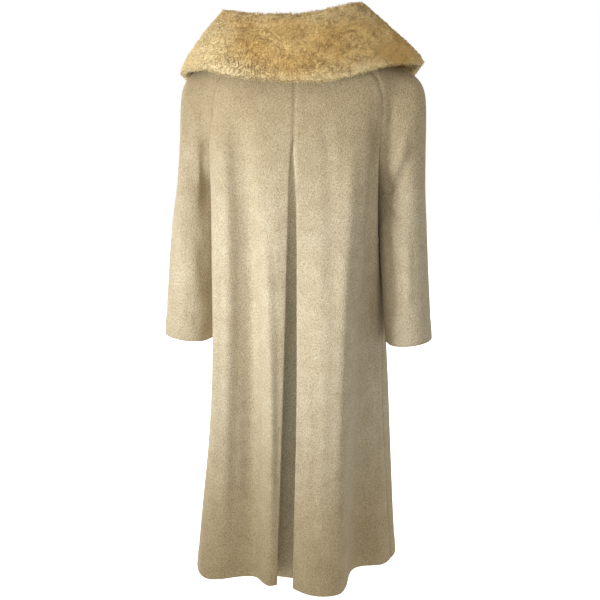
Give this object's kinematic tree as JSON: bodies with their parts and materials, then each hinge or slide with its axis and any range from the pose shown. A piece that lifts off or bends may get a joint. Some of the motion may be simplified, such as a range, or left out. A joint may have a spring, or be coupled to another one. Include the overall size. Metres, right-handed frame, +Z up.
{
  "type": "swing coat",
  "caption": "Long swing coat in heavy looped wool, with raglan sleeves, an inverted centre back pleat and a broad fur shawl collar, filled out as worn.",
  "frame": {"origin": "halfway between the two points where the neck meets the shoulders, which carry the coat on its wearer", "axes": "+Z up, -Y towards the wearer's front, +X towards the wearer's left"},
  "size_m": [0.597, 0.344, 1.2595],
  "materials": {
    "coat_cloth": "nubbed wool",
    "fur": "curly pile"
  },
  "bodies": {
    "root": {"back_left": "coat_cloth", "back_right": "coat_cloth", "front_left": "coat_cloth", "front_right": "coat_cloth", "pleat_underlay": "coat_cloth", "sleeve_left_back": "coat_cloth", "sleeve_left_front": "coat_cloth", "sleeve_right_back": "coat_cloth", "sleeve_right_front": "coat_cloth", "collar_fur": "fur"}
  },
  "joints": []
}
